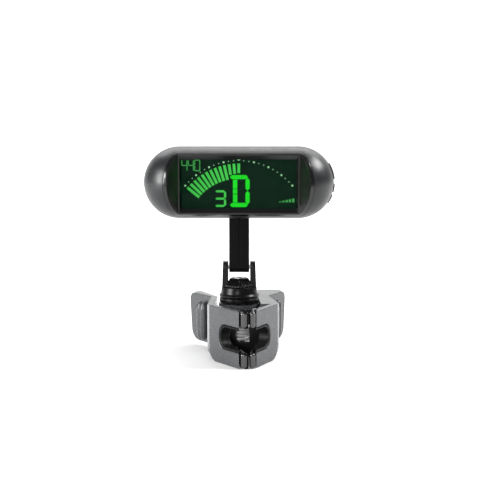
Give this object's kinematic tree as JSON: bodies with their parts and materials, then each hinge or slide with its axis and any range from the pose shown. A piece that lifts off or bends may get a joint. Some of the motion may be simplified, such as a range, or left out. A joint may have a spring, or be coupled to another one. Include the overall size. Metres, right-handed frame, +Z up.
{
  "type": "clip on tuner",
  "caption": "Clip-on tuner: a capsule-shaped head with a display, on a double-hinged stem, a swivel fork and a sprung clip with rubber-lined jaws.",
  "frame": {"origin": "centre of the footprint of the whole tuner, on the surface that it stands on", "axes": "+Z up along the swivel axis and the stem, +X to the right as seen from the display's side, -Y the way the display and the jaws face"},
  "size_m": [0.065, 0.0482, 0.073],
  "materials": {
    "lever_plastic": "satin",
    "jaw_rubber": "matte",
    "black_plastic": "satin",
    "shell_plastic": "satin",
    "gloss_black": "gloss",
    "clear_lens": "gloss",
    "lcd": "gloss",
    "light_guide": "matte",
    "key_rubber": "matte",
    "board": "satin",
    "chip_black": "matte",
    "brass": "satin",
    "steel": "satin"
  },
  "bodies": {
    "clip": {"right_lever": "lever_plastic", "right_jaw_pad": "jaw_rubber", "pivot_pin": "steel", "swivel_hub": "black_plastic", "swivel_washer": "steel", "torsion_spring": "steel"},
    "moving_lever": {"left_lever": "lever_plastic", "left_jaw_pad": "jaw_rubber"},
    "fork": {"swivel_fork": "black_plastic", "ribbed_cone": "black_plastic", "swivel_screw": "steel", "tilt_screw": "steel", "tilt_nut": "steel"},
    "stem": {"stem": "black_plastic"},
    "head": {"front_shell": "shell_plastic", "rear_shell": "shell_plastic", "display_bezel": "gloss_black", "display_lens": "clear_lens", "lcd_panel": "lcd", "backlight": "light_guide", "zebra_strip": "key_rubber", "circuit_board": "board", "mcu_chip": "chip_black", "amplifier_chip": "chip_black", "crystal": "steel", "piezo_disc": "brass", "switch_board": "board", "power_switch": "chip_black", "mode_switch": "chip_black", "tune_switch": "chip_black", "battery_cell": "steel", "negative_contact": "brass", "positive_contact": "brass", "head_hinge_pin": "steel", "shell_screw_left": "steel", "shell_screw_upper": "steel", "shell_screw_lower": "steel"},
    "battery_door": {"battery_door": "shell_plastic"},
    "power_key": {"power_key": "key_rubber"},
    "mode_key": {"mode_key": "key_rubber"},
    "tune_key": {"tune_key": "key_rubber"}
  },
  "joints": [
    {"name": "clip_squeeze", "type": "hinge", "parent": "clip", "child": "moving_lever", "pos_m": [-0.00015, 0.00024, 0.0096], "axis": [0, 0, 1], "range_deg": [-24, 0], "stiffness_Nm_per_rad": 0.15, "springref_deg": 28.65, "deforming": ["torsion_spring"]},
    {"name": "swivel", "type": "hinge", "parent": "clip", "child": "fork", "pos_m": [-0.00015, 0.00024, 0.0207], "axis": [0, 0, 1], "continuous": true},
    {"name": "stem_tilt", "type": "hinge", "parent": "fork", "child": "stem", "pos_m": [-0.00015, 0.00024, 0.031], "axis": [1, 0, 0], "range_deg": [-65, 65]},
    {"name": "head_tilt", "type": "hinge", "parent": "stem", "child": "head", "pos_m": [-0.00015, 0.00024, 0.0526], "axis": [1, 0, 0], "range_deg": [-60, 10]},
    {"name": "power_press", "type": "slide", "parent": "head", "child": "power_key", "axis": [-1, 0, 0], "range_m": [0, 0.0004], "stiffness_N_per_m": 600},
    {"name": "mode_press", "type": "slide", "parent": "head", "child": "mode_key", "axis": [-1, 0, 0], "range_m": [0, 0.0004], "stiffness_N_per_m": 600},
    {"name": "tune_press", "type": "slide", "parent": "head", "child": "tune_key", "axis": [-1, 0, 0], "range_m": [0, 0.0004], "stiffness_N_per_m": 600},
    {"name": "battery_door_release", "type": "slide", "parent": "head", "child": "battery_door", "axis": [0, 0.9986, 0.0523], "range_m": [0, 0.008]}
  ]
}
